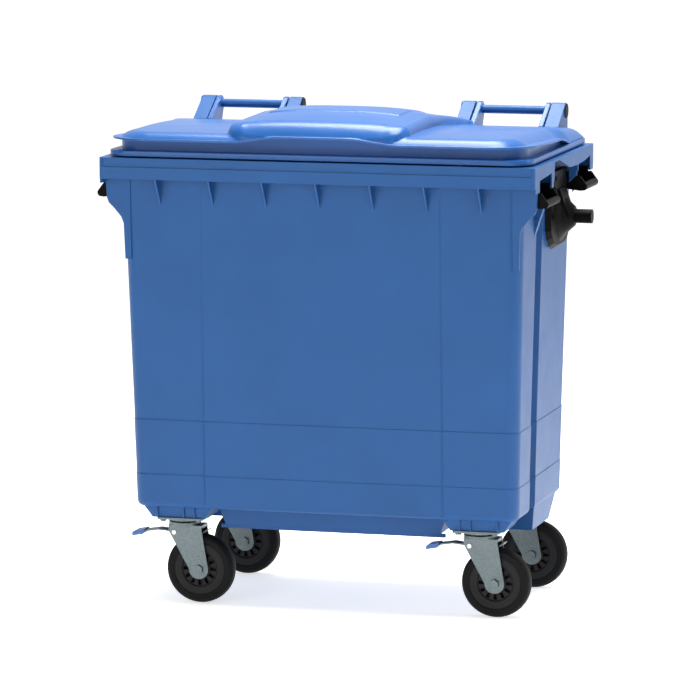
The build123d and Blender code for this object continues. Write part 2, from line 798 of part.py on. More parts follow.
def castor_places():
    places = []
    for y in (SWIVEL_FRONT_Y, SWIVEL_REAR_Y):
        for x in (-SWIVEL_X, SWIVEL_X):
            places.append((x, y))
    return places


def king_pin(x, y):
    pin = rod_z(8.95, PLATE_TOP - PLATE_T - 5, PLATE_TOP, x, y)
    pin += rod_z(8, FORK_HEAD_LOW - 1, PLATE_TOP, x, y)
    pin += rod_z(12, PLATE_TOP, PLATE_TOP + 6, x, y)
    pin += rod_z(11, FORK_HEAD_LOW - 7, FORK_HEAD_LOW - 1, x, y)
    return pin


def castor_balls(x, y):
    balls = []
    for i in range(BALL_COUNT):
        a = radians(360.0 * i / BALL_COUNT)
        centre = (x + BALL_RING_R * cos(a), y + BALL_RING_R * sin(a), PLATE_TOP - PLATE_T - 5.5)
        balls.append(Pos(*centre) * Sphere(BALL_R))
    return Compound(children=balls)


def fork(x, y, braked):
    head = rod_z(45, FORK_HEAD_LOW + 8, FORK_TOP + 3, x, y)
    seat = Pos(x, y, PLATE_TOP - PLATE_T - 5.5) * Torus(BALL_RING_R, BALL_R)
    head -= seat
    head += box(x - 39, x + 59, y - FORK_HALF_Y, y + FORK_HALF_Y, FORK_HEAD_LOW, FORK_HEAD_LOW + 9)
    head -= rod_z(8 + RUNNING, FORK_HEAD_LOW - 1, FORK_TOP + 5, x, y)
    outline = [
        (x - 39, FORK_HEAD_LOW + 9),
        (x - 39, FORK_HEAD_LOW - 8),
        (x + TRAIL - 28.5, WHEEL_R),
        (x + TRAIL + 28.5, WHEEL_R),
        (x + 59, FORK_HEAD_LOW - 4),
        (x + 59, FORK_HEAD_LOW + 9),
    ]
    body = head
    for side in (-1, 1):
        y0 = y + side * FORK_HALF_Y
        y1 = y0 - side * FORK_T
        lo, hi = min(y0, y1), max(y0, y1)
        leg = prism_xz(outline, lo, hi) + rod_y(28.5, lo, hi, x + TRAIL, WHEEL_R)
        body += leg
    body -= rod_y(AXLE_R, y - 40, y + 40, x + TRAIL, WHEEL_R)
    if braked:
        body -= rod_y(PEDAL_PIN_R, y - 40, y + 40, x + PEDAL_PIVOT[0], PEDAL_PIVOT[1])
    return body


def axle_bolt(x, y):
    cx = x + TRAIL
    bolt = rod_y(AXLE_R, y - 32.5, y + 42, cx, WHEEL_R)
    head = Plane(origin=(cx, y - FORK_HALF_Y, WHEEL_R), z_dir=(0, -1, 0)) * RegularPolygon(12, 6, major_radius=False)
    return bolt + extrude(head, amount=8)


def axle_nut(x, y):
    plane = Plane(origin=(x + TRAIL, y + FORK_HALF_Y, WHEEL_R), z_dir=(0, 1, 0))
    nut = extrude(plane * RegularPolygon(12, 6, major_radius=False), amount=8)
    return nut - rod_y(AXLE_R, y + 30, y + 45, x + TRAIL, WHEEL_R)


def wheel_bush(x, y):
    bush = rod_y(BUSH_R, y - 27, y + 27, x + TRAIL, WHEEL_R)
    return bush - rod_y(AXLE_R + RUNNING, y - 30, y + 30, x + TRAIL, WHEEL_R)


def hub_profile():
    """Half section of the wheel centre, turned about the axle."""
    half = WHEEL_W / 2
    return [
        (BUSH_R, -half + 1),
        (26, -half + 1),
        (27, -half + 5),
        (30, -half + 6),
        (50, -half + 6),
        (53, -half + 2),
        (66, -half + 1),
        (HUB_R, -half + 1.5),
        (HUB_R, half - 1.5),
        (66, half - 1),
        (53, half - 2),
        (50, half - 6),
        (30, half - 6),
        (27, half - 5),
        (26, half - 1),
        (BUSH_R, half - 1),
    ]


def revolve_wheel(profile, x, y):
    face = make_face(Polyline(*[(r, w, 0) for r, w in profile], close=True))
    solid = revolve(face, axis=Axis.Y, revolution_arc=360)
    return Pos(x + TRAIL, y, WHEEL_R) * solid


def wheel_hub(x, y):
    hub = revolve_wheel(hub_profile(), x, y)
    cx = x + TRAIL
    count = 12
    for i in range(count):
        pockets = Pos(39.5, 14, 0) * Box(17, 22, 9.5) + Pos(39.5, -14, 0) * Box(17, 22, 9.5)
        hub -= Pos(cx, y, WHEEL_R) * Rot(0, 360.0 * i / count, 0) * pockets
    return hub


def tyre_profile():
    half = WHEEL_W / 2
    points = [(HUB_R, -half + 1.5), (78, -half), (90, -half + 0.5)]
    steps = 8
    for i in range(steps + 1):
        a = radians(-90 + 180.0 * i / steps)
        points.append((92 + 8 * cos(a), (half - 3) * sin(a)))
    points += [(90, half - 0.5), (78, half), (HUB_R, half - 1.5)]
    return points


def wheel_tyre(x, y):
    return revolve_wheel(tyre_profile(), x, y)


# ---- brake pedal of a front castor ----------------------------------------
def pedal_lever(x, y):
    px = x + PEDAL_PIVOT[0]
    pz = PEDAL_PIVOT[1]
    centre = [(-145, 196), (-112, 203), (-74, 209), (-52, 207), (-30, 205), (34, 205), (60, 205), (74, 213)]
    low = [(x + dx, z - 2) for dx, z in centre]
    high = [(x + dx, z + 2) for dx, z in reversed(centre)]
    lever = prism_xz(low + high, y - 20, y + 20)
    lever += rod_y(8, y - 24, y + 24, px, pz)
    return lever - rod_y(PEDAL_PIN_R + RUNNING, y - 30, y + 30, px, pz)


def pedal_pad(x, y):
    outline = [(-150, 188), (-118, 194), (-114, 199.5), (-114, 208), (-145, 202), (-151, 197)]
    pad = prism_xz([(x + dx, z) for dx, z in outline], y - 25, y + 25)
    return pad - pedal_lever(x, y)


def pedal_pin(x, y):
    px = x + PEDAL_PIVOT[0]
    pin = rod_y(PEDAL_PIN_R, y - 34, y + 34, px, PEDAL_PIVOT[1])
    for side in (-1, 1):
        y0 = y + side * FORK_HALF_Y
        y1 = y0 + side * 3
        pin += rod_y(6.5, min(y0, y1), max(y0, y1), px, PEDAL_PIVOT[1])
    return pin


def brake_shoe(x, y):
    outline = [(-12, 203.5), (-16, 190), (-24, 181), (-10, 176), (14, 198), (4, 203.5)]
    shoe = prism_xz([(x + dx, z) for dx, z in outline], y - 16, y + 16)
    shoe -= rod_y(WHEEL_R + 5.6, y - 20, y + 20, x + TRAIL, WHEEL_R)
    shoe -= pedal_lever(x, y)
    return shoe


# ---- write one file per piece ---------------------------------------------
def castor_name(x, y):
    end = "front" if y < 0 else "rear"
    side = "left" if x < 0 else "right"
    return f"castor_{end}_{side}"


def all_nodes():
    right_trunnion = trunnion()
    nodes = {
        "tub": tub(),
        "lid": lid(),
        "drain_plug": drain_plug(),
        "drain_seal": drain_seal(),
        "trunnion_right": right_trunnion,
        "trunnion_left": mirror(right_trunnion, about=Plane.YZ),
        "trunnion_screws": trunnion_screws(),
        "hinge_bar_right": hinge_bar(),
        "hinge_bar_left": mirror(hinge_bar(), about=Plane.YZ),
        "hinge_caps": hinge_caps(),
        "castor_plate_bolts": castor_bolts(),
        "castor_plate_nuts": castor_nuts(),
    }
    for end, y in (("front", HANDLE_FRONT_Y), ("rear", HANDLE_REAR_Y)):
        grip = side_handle(y)
        nodes[f"side_handle_{end}_right"] = grip
        nodes[f"side_handle_{end}_left"] = mirror(grip, about=Plane.YZ)
    for x, y in castor_places():
        name = castor_name(x, y)
        braked = y < 0
        nodes[f"{name}_plate"] = castor_plate(x, y)
        nodes[f"{name}_king_pin"] = king_pin(x, y)
        nodes[f"{name}_balls"] = castor_balls(x, y)
        nodes[f"{name}_fork"] = fork(x, y, braked)
        nodes[f"{name}_axle_bolt"] = axle_bolt(x, y)
        nodes[f"{name}_axle_nut"] = axle_nut(x, y)
        nodes[f"{name}_bush"] = wheel_bush(x, y)
        nodes[f"{name}_hub"] = wheel_hub(x, y)
        nodes[f"{name}_tyre"] = wheel_tyre(x, y)
        if braked:
            nodes[f"{name}_pedal"] = pedal_lever(x, y)
            nodes[f"{name}_pedal_pad"] = pedal_pad(x, y)
            nodes[f"{name}_pedal_pin"] = pedal_pin(x, y)
            nodes[f"{name}_brake_shoe"] = brake_shoe(x, y)
    return nodes


os.makedirs("parts", exist_ok=True)
for node, shape in all_nodes().items():
    export_step(shape, f"parts/{node}.step")
    print(node, round(shape.volume), len(shape.solids()))
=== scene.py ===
import bmesh
import bpy
import json
import math
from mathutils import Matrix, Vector


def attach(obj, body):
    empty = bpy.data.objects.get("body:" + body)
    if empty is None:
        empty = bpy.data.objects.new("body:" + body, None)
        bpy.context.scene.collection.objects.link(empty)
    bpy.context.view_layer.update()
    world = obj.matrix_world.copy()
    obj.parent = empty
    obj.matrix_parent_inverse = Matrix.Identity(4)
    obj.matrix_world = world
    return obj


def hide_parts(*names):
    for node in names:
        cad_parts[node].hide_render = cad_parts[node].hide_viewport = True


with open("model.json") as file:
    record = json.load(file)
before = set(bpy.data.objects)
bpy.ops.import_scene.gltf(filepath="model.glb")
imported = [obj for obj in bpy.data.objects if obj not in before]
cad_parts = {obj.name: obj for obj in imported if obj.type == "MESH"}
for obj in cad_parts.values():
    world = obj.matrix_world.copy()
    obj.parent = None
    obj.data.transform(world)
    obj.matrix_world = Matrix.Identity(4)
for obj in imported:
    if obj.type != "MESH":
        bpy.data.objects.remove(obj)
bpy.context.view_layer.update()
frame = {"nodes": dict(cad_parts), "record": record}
nodes = frame["nodes"]

# ---- camera ---------------------------------------------------------------
CAMERA_AZIMUTH = 14.99
CAMERA_ELEVATION = 8.13
CAMERA_DISTANCE = 13.742
CAMERA_TARGET = Vector((0.0, 0.0, 0.65))
CAMERA_LENS = 246.3
CAMERA_SHIFT_Y = 0.0319


def make_camera():
    azimuth = math.radians(CAMERA_AZIMUTH)
    elevation = math.radians(CAMERA_ELEVATION)
    back = Vector(
        (
            math.sin(azimuth) * math.cos(elevation),
            -math.cos(azimuth) * math.cos(elevation),
            math.sin(elevation),
        )
    )
    data = bpy.data.cameras.new("camera")
    data.lens = CAMERA_LENS
    data.sensor_width = 36.0
    data.shift_y = CAMERA_SHIFT_Y
    data.clip_end = 100.0
    camera = bpy.data.objects.new("camera", data)
    camera.location = CAMERA_TARGET + back * CAMERA_DISTANCE
    camera.rotation_euler = (-back).to_track_quat("-Z", "Y").to_euler()
    bpy.context.scene.collection.objects.link(camera)
    bpy.context.scene.camera = camera


# ---- light and floor ------------------------------------------------------
def area_light(name, place, target, size, power, colour=(1, 1, 1)):
    data = bpy.data.lights.new(name, "AREA")
    data.shape = "RECTANGLE"
    data.size = size[0]
    data.size_y = size[1]
    data.energy = power
    data.color = colour
    light = bpy.data.objects.new(name, data)
    light.location = place
    aim = Vector(target) - Vector(place)
    light.rotation_euler = aim.to_track_quat("-Z", "Y").to_euler()
    bpy.context.scene.collection.objects.link(light)


def make_world():
    """White surroundings, bright behind the bin and dimmer towards the camera."""
    world = bpy.data.worlds.new("studio")
    world.use_nodes = True
    tree = world.node_tree
    background = tree.nodes["Background"]
    background.inputs["Color"].default_value = (1.0, 1.0, 1.0, 1.0)
    coords = tree.nodes.new("ShaderNodeTexCoord")
    split = tree.nodes.new("ShaderNodeSeparateXYZ")
    spread = tree.nodes.new("ShaderNodeMapRange")
    spread.interpolation_type = "SMOOTHSTEP"
    spread.inputs["From Min"].default_value = -0.35
    spread.inputs["From Max"].default_value = 0.45
    spread.inputs["To Min"].default_value = 0.30
    spread.inputs["To Max"].default_value = 0.75
    tree.links.new(coords.outputs["Generated"], split.inputs["Vector"])
    tree.links.new(split.outputs["Y"], spread.inputs["Value"])
    tree.links.new(spread.outputs["Result"], background.inputs["Strength"])
    bpy.context.scene.world = world


def make_studio():
    make_world()
    area_light("top", (0.3, 0.3, 4.6), (0, 0.1, 1.0), (3.8, 2.0), 360)
    area_light("front", (-2.4, -6.5, 2.6), (0, 0, 0.7), (3.0, 3.0), 95)
    area_light("side", (6.0, 0.8, 2.4), (0, 0, 0.8), (2.0, 3.0), 60)
    scene = bpy.context.scene
    scene.view_settings.view_transform = "Standard"
    scene.view_settings.look = "None"
    floor_mesh = bpy.data.meshes.new("floor")
    reach = 60.0
    corners = [(-reach, -reach, 0), (reach, -reach, 0), (reach, reach, 0), (-reach, reach, 0)]
    floor_mesh.from_pydata(corners, [], [(0, 1, 2, 3)])
    floor = bpy.data.objects.new("floor", floor_mesh)
    bpy.context.scene.collection.objects.link(floor)
    floor.data.materials.append(floor_material())


# ---- materials ------------------------------------------------------------
def new_material(name):
    material = bpy.data.materials.new(name)
    material.use_nodes = True
    tree = material.node_tree
    shader = tree.nodes["Principled BSDF"]
    return material, tree, shader


def noise(tree, scale, detail=4.0, roughness=0.5):
    coords = tree.nodes.new("ShaderNodeTexCoord")
    node = tree.nodes.new("ShaderNodeTexNoise")
    node.inputs["Scale"].default_value = scale
    node.inputs["Detail"].default_value = detail
    node.inputs["Roughness"].default_value = roughness
    tree.links.new(coords.outputs["Object"], node.inputs["Vector"])
    return node


def ramp(tree, source, low, high, colour_low, colour_high):
    node = tree.nodes.new("ShaderNodeValToRGB")
    node.color_ramp.elements[0].position = low
    node.color_ramp.elements[1].position = high
    node.color_ramp.elements[0].color = (*colour_low, 1.0)
    node.color_ramp.elements[1].color = (*colour_high, 1.0)
    tree.links.new(source, node.inputs["Fac"])
    return node


def floor_material():
    """White paper, faintly lit from below so that it stays white up to the edge."""
    material, tree, shader = new_material("floor_paper")
    spots = noise(tree, 3.0)
    tint = ramp(tree, spots.outputs["Fac"], 0.3, 0.7, (0.86, 0.86, 0.86), (0.88, 0.88, 0.88))
    tree.links.new(tint.outputs["Color"], shader.inputs["Base Color"])
    shader.inputs["Roughness"].default_value = 0.9
    shader.inputs["Specular IOR Level"].default_value = 0.1
    shader.inputs["Emission Color"].default_value = (1.0, 1.0, 1.0, 1.0)
    shader.inputs["Emission Strength"].default_value = 0.6
    return material


def rounded_bump(tree, shader, height, strength, distance, edge):
    """Feeds the shader a bumped normal whose sharp edges are rounded by edge metres."""
    bevel = tree.nodes.new("ShaderNodeBevel")
    bevel.samples = 6
    bevel.inputs["Radius"].default_value = edge
    bump = tree.nodes.new("ShaderNodeBump")
    bump.inputs["Strength"].default_value = strength
    bump.inputs["Distance"].default_value = distance
    tree.links.new(height, bump.inputs["Height"])
    tree.links.new(bevel.outputs["Normal"], bump.inputs["Normal"])
    tree.links.new(bump.outputs["Normal"], shader.inputs["Normal"])


def plastic(name, colour, rough, bump_scale, bump_strength, edge, specular=0.5, coat=0.0):
    """Moulded plastic: faint colour mottling, uneven gloss and a fine skin."""
    material, tree, shader = new_material(name)
    patches = noise(tree, 5.0, 3.0)
    dark = tuple(c * 0.955 for c in colour)
    light = tuple(c * 1.045 for c in colour)
    tint = ramp(tree, patches.outputs["Fac"], 0.35, 0.65, dark, light)
    tree.links.new(tint.outputs["Color"], shader.inputs["Base Color"])
    gloss = noise(tree, 11.0, 4.0)
    spread = ramp(tree, gloss.outputs["Fac"], 0.3, 0.7, (rough * 0.94,) * 3, (rough * 1.06,) * 3)
    tree.links.new(spread.outputs["Color"], shader.inputs["Roughness"])
    grain = noise(tree, bump_scale, 5.0, 0.55)
    rounded_bump(tree, shader, grain.outputs["Fac"], bump_strength, 0.0004, edge)
    shader.inputs["Specular IOR Level"].default_value = specular
    shader.inputs["Coat Weight"].default_value = coat
    shader.inputs["Coat Roughness"].default_value = 0.08
    return material


def metal(name, colour, rough, edge=0.0008):
    """Zinc-plated steel: crystals of slightly different grey and a cloudy gloss."""
    material, tree, shader = new_material(name)
    coords = tree.nodes.new("ShaderNodeTexCoord")
    spangle = tree.nodes.new("ShaderNodeTexVoronoi")
    spangle.inputs["Scale"].default_value = 260.0
    tree.links.new(coords.outputs["Object"], spangle.inputs["Vector"])
    dark = tuple(c * 0.78 for c in colour)
    tint = ramp(tree, spangle.outputs["Color"], 0.1, 0.9, dark, colour)
    tree.links.new(tint.outputs["Color"], shader.inputs["Base Color"])
    cloud = noise(tree, 30.0, 5.0, 0.6)
    spread = ramp(tree, cloud.outputs["Fac"], 0.3, 0.7, (rough * 1.15,) * 3, (rough * 0.85,) * 3)
    tree.links.new(spread.outputs["Color"], shader.inputs["Roughness"])
    grain = noise(tree, 450.0, 3.0)
    rounded_bump(tree, shader, grain.outputs["Fac"], 0.12, 0.0003, edge)
    shader.inputs["Metallic"].default_value = 1.0
    return material


def make_materials():
    return {
        "blue_body": plastic("blue_body", (0.013, 0.084, 0.262), 0.40, 900, 0.06, 0.0022, 0.28),
        # blue_lid is the body's plastic painted a little lighter and bluer: painted light, for the
        # stronger light on the lid's top
        "blue_lid": plastic("blue_lid", (0.013, 0.092, 0.310), 0.30, 700, 0.03, 0.0012, 0.32, 0.08),
        "black_plastic": plastic(
            "black_plastic", (0.0025, 0.0025, 0.0026), 0.45, 700, 0.15, 0.0018, 0.06
        ),
        "black_steel": metal("black_steel", (0.010, 0.010, 0.010), 0.5),
        "zinc": metal("zinc", (0.17, 0.205, 0.212), 0.42),
        "tyre_black": plastic("tyre_black", (0.0035, 0.0035, 0.0037), 0.6, 500, 0.25, 0.0012, 0.16),
        "hub_grey": plastic("hub_grey", (0.012, 0.012, 0.012), 0.5, 600, 0.2, 0.0012, 0.2),
        "pedal_blue": plastic("pedal_blue", (0.045, 0.14, 0.37), 0.35, 700, 0.1, 0.0015, 0.5),
        "seal_rubber": plastic("seal_rubber", (0.006, 0.006, 0.006), 0.7, 500, 0.2, 0.0005, 0.2),
        "bearing_steel": metal("bearing_steel", (0.6, 0.6, 0.62), 0.18, 0.0003),
        "bush_nylon": plastic("bush_nylon", (0.65, 0.63, 0.57), 0.45, 600, 0.1, 0.0005),
    }


def node_slots():
    return {s["node"]: s["material_slot"] for s in frame["record"]["subparts"]}


def dress_nodes(materials):
    for name, slot in node_slots().items():
        mesh = nodes[name].data
        mesh.materials.clear()
        mesh.materials.append(materials[slot])


# ---- lid, in millimetres --------------------------------------------------
HINGE_Y = 373.0
HINGE_Z = 1383.0
HINGE_R = 23.0
BAR_R = 12.6
LID_SLOTS = ((236.0, 286.0), (501.0, 553.0))
SLOT_R = 118.0
ARMS = ((286.0, 300.0), (490.0, 503.0))
BRIM_T = 6.5
REAR_BRIM_T = 2.4
SHELL_T = 3.6
BEAD_LOW = 1293.5
BEAD_TOP = 1310.0
# Plan outlines: half width, front edge, radius of the front corners.
BRIM = (612.0, -396.0, 115.0)
WALL = (587.0, -345.0, 60.0)
BEAD = (611.0, -378.0, 60.0)
HALF_WIDTH, FRONT_EDGE, CORNER_R = BRIM
LID_REAR = 366.0
REAR_R = 30.0
PULL_HALF = 248.0
PULL_RISE = 15.5
BONNET_FRONT = -390.0
BONNET_HALF = 261.0
BONNET_R = 60.0
BONNET_EDGE = 27.0
PANEL_HALF = 192.0
PANEL_FRONT = -174.0
PANEL_REAR = 262.0
PANEL_RISE = 3.5
CORNER_STEPS = 32
DOME_STEPS = (1.85, 1.7, 1.57, 1.45, 1.35, 1.26, 1.18, 1.11, 1.05, 1.0, 0.35)
# The grid's columns up to FIXED_X and its rows behind FIXED_Y are the same in every ring.
FIXED_X = 420.0
FIXED_Y = -265.0
OUTER = (0.14, 0.28, 0.42, 0.56, 0.7, 0.82, 0.92, 1.0)
ROD_SIDES = 96


def blend(a, b, t):
    """Smooth step from a to b as t goes from 0 to 1."""
    t = max(0.0, min(1.0, t))
    return a + (b - a) * t * t * (3 - 2 * t)


def round_corner(inwards, ahead, radius):
    """Distance in from an outline with a round corner, and the turn: 0 at the side, 1 in front."""
    if ahead <= 0:
        return inwards, 0.0
    beside = max(0.0, radius - inwards)
    return radius - math.hypot(ahead, beside), math.atan2(ahead, beside) / (math.pi / 2)


def brim_low(y):
    """Underside of the brim, which sinks to the bead towards the rear."""
    if y < 15:
        return blend(1339.5, 1330, (y + 340) / 355)
    return max(BEAD_TOP + 1, blend(1330, 1308, (y - 15) / 165))


def brim_thickness(y):
    return blend(BRIM_T, REAR_BRIM_T, (y - 60) / 120)


def pull_lift(x, y):
    """The front brim rises in the middle to give a grip."""
    across = blend(0, PULL_RISE, (PULL_HALF - abs(x)) / 158)
    return across * blend(0, 1, (-330 - y) / 14)


def rear_cut(y):
    """What the rounded rear corners take off the half width."""
    late = max(0.0, y - (LID_REAR - REAR_R))
    return REAR_R - math.sqrt(REAR_R ** 2 - min(REAR_R, late) ** 2)


def tuck(y):
    """The brim narrows towards the rear."""
    return blend(0, 6, (y - 60) / 120)


def lip_and_run(y, turn):
    """Widths of the flat lip and of the dome's rise; turn is 0 along the sides, 1 in front."""
    lip = blend(28, 8, (y - 60) / 110)
    run = blend(62, 46, (y - 60) / 110)
    return lip + (6 - lip) * turn, run + (40 - run) * turn


def panel_rise(x, y):
    """How far the dome has risen from the lip: 0 at the lip, 1 on the flat top."""
    side = HALF_WIDTH - rear_cut(y) - abs(x)
    inwards, turn = round_corner(side, FRONT_EDGE + CORNER_R - y, CORNER_R)
    lip, run = lip_and_run(y, turn)
    t = max(0.0, min(1.0, (inwards - lip) / run))
    return 1 - (1 - t) ** 2.4


def panel_height(x, y):
    """Top of the outer panels: a long crown that falls to the brim all round."""
    crown = 1367 - 29 * ((y + 180) / 510) ** 2
    edge = brim_low(y) + pull_lift(x, y) + brim_thickness(y)
    z = edge + (crown - edge) * panel_rise(x, y)
    if y > 320:
        z = edge + (z - edge) * math.sqrt(max(0.0, 1 - ((y - 320) / 50) ** 2))
    return z


def shoulder_height(y):
    """Height of the bonnet's edge: a steep front, nearly level, then falling to the rear."""
    if y < -320:
        return 1394 - 32 * ((-320 - y) / 70) ** 2.6
    if y < -46:
        return 1394 + (y + 320) * 6 / 274
    return 1400 - 54 * ((y + 46) / 412) ** 1.35


def crest_height(y):
    """Height of the bonnet's middle."""
    rise = 22 * (1 - ((y + 150) / 420) ** 2)
    if y < -250:
        rise = 20.8 * max(0.0, (y + 386) / 136) ** 0.6
    return shoulder_height(y) + max(0.0, rise)


def bonnet_top(x, y):
    """Top of the bonnet away from its edges: low at the shoulders, high in the middle."""
    crest = crest_height(y) - PANEL_RISE
    return crest - (crest - shoulder_height(y)) * min(1.0, abs(x) / 236) ** 3.2


def lid_height(x, y):
    """Top of the whole lid: outer panels and the bonnet over their middle."""
    ground = panel_height(x, y)
    side = BONNET_HALF + blend(0, 36, (y - 20) / 240) - abs(x)
    off, turn = round_corner(side, BONNET_FRONT + BONNET_R - y, BONNET_R)
    tail = math.sqrt(max(0.0, 1 - ((y - 318) / 42) ** 2)) if y > 318 else 1.0
    fillet = 2.0 * blend(0, 1, (off + 9) / 9) * (1 - turn) * tail
    if off <= 0:
        return ground + fillet
    t = min(1.0, off / BONNET_EDGE)
    swell = (1 - (1 - t) ** 2.2) ** (1 / 2.2)
    beside = max(0.0, bonnet_top(x, max(y, BONNET_FRONT + BONNET_R)) - ground) * swell
    before = max(0.0, bonnet_top(x, BONNET_FRONT + off) - ground) * min(1.0, off / 2.0)
    z = ground + fillet * (1 - swell) + (beside + (before - beside) * turn) * tail
    raised = blend(0, 1, (PANEL_HALF - abs(x)) / 5) * blend(0, 1, (y - PANEL_FRONT) / 5)
    return z + PANEL_RISE * raised * blend(0, 1, (PANEL_REAR - y) / 10)


def spaced(a, b, step):
    """Even steps from a up to b, without b itself."""
    count = max(1, round((b - a) / step))
    return [a + (b - a) * i / count for i in range(count)]


def half_columns():
    """Distances from the middle plane at which the lid's grid is cut, up to FIXED_X."""
    xs = spaced(0, 180, 18) + spaced(180, 196, 2) + spaced(196, 228, 8)
    xs += spaced(228, 300, 1.8) + spaced(300, FIXED_X, 20)
    return xs + [FIXED_X]


def row_places():
    """Rows behind the rounded front corners, from FIXED_Y to the rear."""
    ys = spaced(FIXED_Y, -180, 14) + spaced(-180, -160, 2) + spaced(-160, 300, 15)
    return ys + spaced(300, LID_REAR, 4) + [LID_REAR]


HALF_X = half_columns()
ROWS = row_places()


def column_places(width):
    """All columns of a row that is width wide on either side of the middle."""
    side = HALF_X + [FIXED_X + (width - FIXED_X) * t for t in OUTER]
    return [-x for x in reversed(side[1:])] + side


def row_list(front, radius, rear):
    """(y, how far the corners take off the half width) of every row."""
    rows = []
    for i in range(CORNER_STEPS + 1):
        a = math.radians(90.0 * i / CORNER_STEPS)
        rows.append((front + radius * (1 - math.cos(a)), radius * (1 - math.sin(a))))
    start = front + radius
    for i in range(1, 6):
        rows.append((start + (FIXED_Y - start) * i / 6, 0.0))
    for y in ROWS:
        if y > 300:
            y = 300 + (y - 300) * (rear - 300) / (LID_REAR - 300)
        rows.append((y, rear_cut(y)))
    return rows


def ring_depth(step, y, turn):
    """Distance in from the outline: steps 0 to 1 cross the lip, 1 to 2 climb the dome."""
    lip, run = lip_and_run(y, turn)
    edge = tuck(y)
    return edge + (lip - edge) * min(1.0, step) + run * max(0.0, step - 1)


def dome_rows(step):
    """(y, half width) of the ring at one step on the lid's top."""
    rows = []
    for i in range(CORNER_STEPS + 1):
        turn = 1 - i / CORNER_STEPS
        a = math.radians(90.0 * turn)
        reach = CORNER_R - ring_depth(step, FRONT_EDGE, turn)
        y = FRONT_EDGE + CORNER_R - reach * math.sin(a)
        rows.append((y, HALF_WIDTH - CORNER_R + reach * math.cos(a)))
    start = FRONT_EDGE + CORNER_R
    for y in [start + (FIXED_Y - start) * i / 6 for i in range(1, 6)] + ROWS:
        rows.append((y, HALF_WIDTH - rear_cut(y) - ring_depth(step, y, 0.0)))
    return rows


def top_points():
    """Grid over the lid's top, inside the dome's rise."""
    return [[(x, y, lid_height(x, y)) for x in column_places(w)] for y, w in dome_rows(2.0)]


def dome_ring(step):
    rows = dome_rows(step)
    places = [(-w, y) for y, w in rows[1:][::-1]]
    places += [(x, rows[0][0]) for x in column_places(HALF_WIDTH - CORNER_R)]
    places += [(w, y) for y, w in rows[1:]]
    return [(x, y, lid_height(x, y)) for x, y in places]


def inner_points(outline, rear):
    """Grid on the inside of the lid, a shell's thickness under its top."""
    half_x, front, radius = outline
    points = []
    for y, taken in row_list(front, radius, rear):
        xs = column_places(half_x - taken)
        points.append([(x, y, lid_height(x, y) - SHELL_T) for x in xs])
    return points


def border(grid):
    """The grid's outline from rear left, round the front, to rear right."""
    left = [row[0] for row in reversed(grid[1:])]
    right = [row[-1] for row in grid[1:]]
    return left + list(grid[0]) + right


def ring_points(outline, rear, level, tucked=0.0):
    """Points of one ring round the lid, each at the height that level gives."""
    half_x, front, radius = outline
    rows = row_list(front, radius, rear)
    sides = [(y, half_x - taken - tucked * tuck(y)) for y, taken in rows[1:]]
    points = [(-x, y, level(x, y)) for y, x in sides[::-1]]
    points += [(x, front, level(x, front)) for x in column_places(half_x - radius)]
    return points + [(x, y, level(x, y)) for y, x in sides]


def flat(z):
    return lambda x, y: z


def under(shift, lowest):
    """Heights that follow the brim's underside but stay above lowest."""
    return lambda x, y: max(lowest, brim_low(y) + pull_lift(x, y) + shift)


def brim_side(part):
    """Heights on the brim's edge: 0 at its underside, 1 at its top."""
    return lambda x, y: brim_low(y) + pull_lift(x, y) + brim_thickness(y) * part


def grown(outline, out, round_out=None):
    """The outline moved outwards; its corners' radius grows as much unless it is given."""
    half_x, front, radius = outline
    return (half_x + out, front - out, radius + (out if round_out is None else round_out))


def brim_rings():
    """Edge of the brim as (outline, level), from the top down."""
    return [
        (grown(BRIM, -0.8), brim_side(0.88)),
        (BRIM, brim_side(0.68)),
        (BRIM, brim_side(0.25)),
        (grown(BRIM, -0.8), brim_side(0.06)),
        (grown(BRIM, -3.0), brim_side(0.0)),
    ]


def wall_rings():
    """Channel and bead below the brim, down to the lid's foot."""
    return [
        (grown(WALL, 4.0), brim_side(0.0)),
        (grown(WALL, 1.0), under(-0.9, BEAD_TOP + 0.9)),
        (WALL, under(-4.0, BEAD_TOP + 0.6)),
        (WALL, flat(BEAD_TOP + 0.4)),
        (grown(WALL, 0.6), flat(BEAD_TOP + 0.1)),
        (grown(WALL, 2.0, 1.0), flat(BEAD_TOP)),
        (grown(BEAD, -3.5, -2.5), flat(BEAD_TOP)),
        (grown(BEAD, -1.0, -0.8), flat(BEAD_TOP - 1.0)),
        (BEAD, flat(BEAD_TOP - 3.2)),
        (BEAD, flat(BEAD_LOW + 2.4)),
        (grown(BEAD, -0.8, -0.6), flat(BEAD_LOW + 0.7)),
        (grown(BEAD, -2.6, -2.0), flat(BEAD_LOW)),
        (grown(BEAD, -5.0), flat(BEAD_LOW)),
        (grown(BEAD, -5.0), flat(BEAD_TOP - 4.5)),
        (grown(WALL, 0.3), flat(BEAD_TOP - 4.5)),
        (WALL, flat(BEAD_LOW)),
    ]


def add_grid(mesh, grid):
    verts = [[mesh.verts.new(Vector(p) * 0.001) for p in row] for row in grid]
    for low, high in zip(verts[:-1], verts[1:]):
        for i in range(len(low) - 1):
            mesh.faces.new((low[i], low[i + 1], high[i + 1], high[i]))
    return verts


def add_band(mesh, first, second):
    for i in range(len(first) - 1):
        mesh.faces.new((first[i], first[i + 1], second[i + 1], second[i]))


